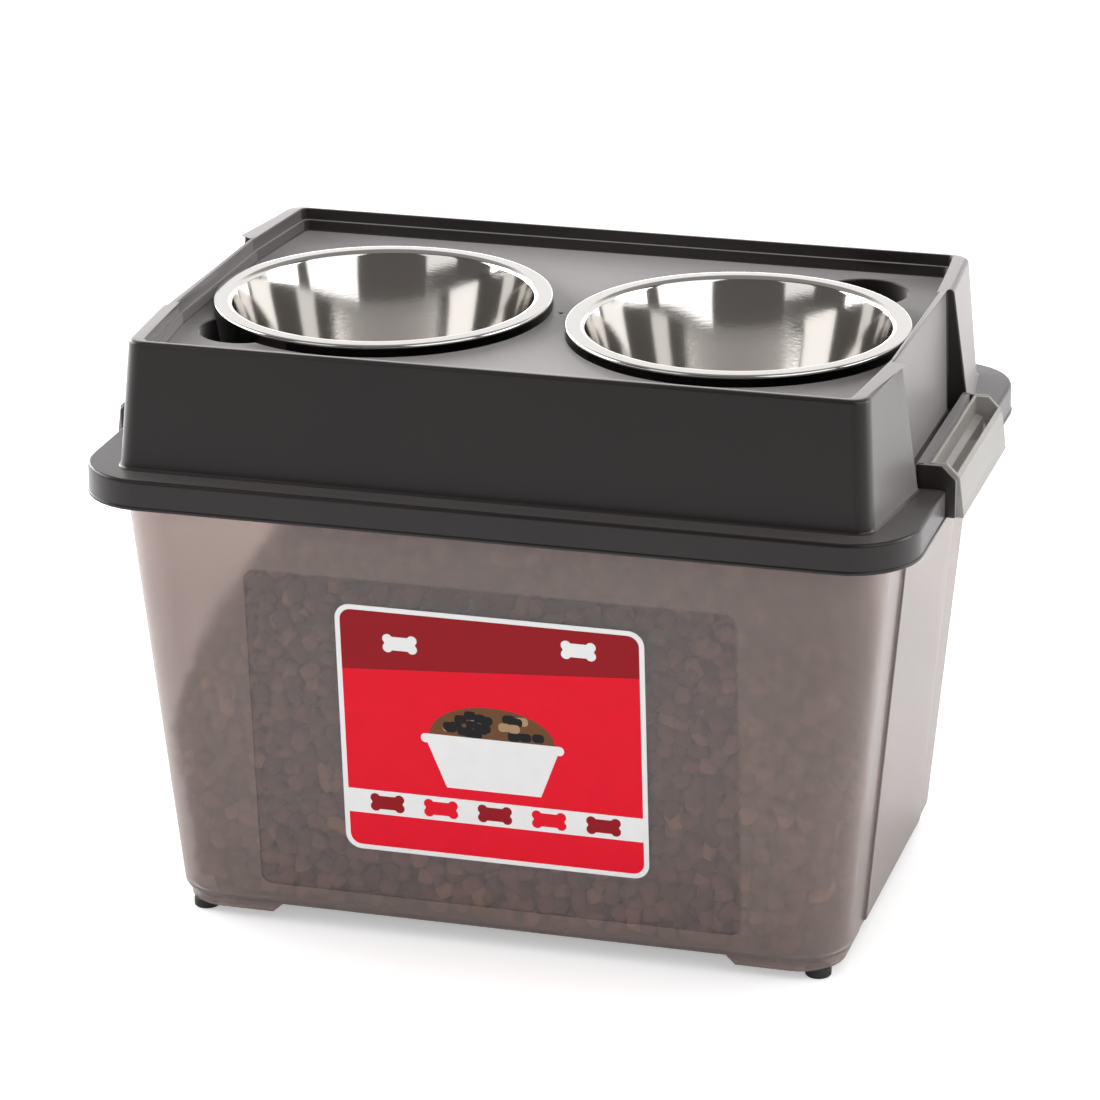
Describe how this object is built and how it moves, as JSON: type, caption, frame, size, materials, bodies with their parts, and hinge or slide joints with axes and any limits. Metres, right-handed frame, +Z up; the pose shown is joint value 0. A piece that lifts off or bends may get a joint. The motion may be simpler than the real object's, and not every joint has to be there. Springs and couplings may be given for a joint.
{
  "type": "elevated dog feeder with storage",
  "caption": "Raised pet feeder: steel bowls drop into wells in a black lid that clamps with swinging side latches onto a tapered, see-through bin of dry food on pads.",
  "frame": {"origin": "on the floor, under the centre of the feeder", "axes": "+Z up, +X to the right along the row of two bowls, front towards -Y"},
  "size_m": [0.596, 0.3946, 0.4185],
  "materials": {
    "bin_plastic": "smoke translucent, frosted",
    "pad_rubber": "matte",
    "lid_plastic": "satin",
    "seal_rubber": "matte",
    "bowl_steel": "polished",
    "latch_plastic": "smoke translucent, gloss",
    "label_film": "printed film",
    "kibble": "dry, matte crust"
  },
  "bodies": {
    "bin": {"storage_bin": "bin_plastic", "foot_pad_front_left": "pad_rubber", "foot_pad_front_right": "pad_rubber", "foot_pad_back_left": "pad_rubber", "foot_pad_back_right": "pad_rubber", "front_label": "label_film", "dry_food": "kibble"},
    "lid": {"feeder_lid": "lid_plastic", "lid_seal": "seal_rubber"},
    "bowl_left": {"bowl_left": "bowl_steel"},
    "bowl_right": {"bowl_right": "bowl_steel"},
    "latch_left": {"latch_left": "latch_plastic"},
    "latch_right": {"latch_right": "latch_plastic"}
  },
  "joints": [
    {"name": "lid_lift", "type": "slide", "parent": "bin", "child": "lid", "axis": [0, 0, 1], "range_m": [0, 0.15]},
    {"name": "bowl_left_lift", "type": "slide", "parent": "lid", "child": "bowl_left", "axis": [0, 0, 1], "range_m": [0, 0.1]},
    {"name": "bowl_right_lift", "type": "slide", "parent": "lid", "child": "bowl_right", "axis": [0, 0, 1], "range_m": [0, 0.1]},
    {"name": "latch_left_swing", "type": "hinge", "parent": "lid", "child": "latch_left", "pos_m": [-0.278, 0, 0.3445], "axis": [0, 1, 0], "range_deg": [0, 100]},
    {"name": "latch_right_swing", "type": "hinge", "parent": "lid", "child": "latch_right", "pos_m": [0.278, 0, 0.3445], "axis": [0, -1, 0], "range_deg": [0, 100]}
  ]
}
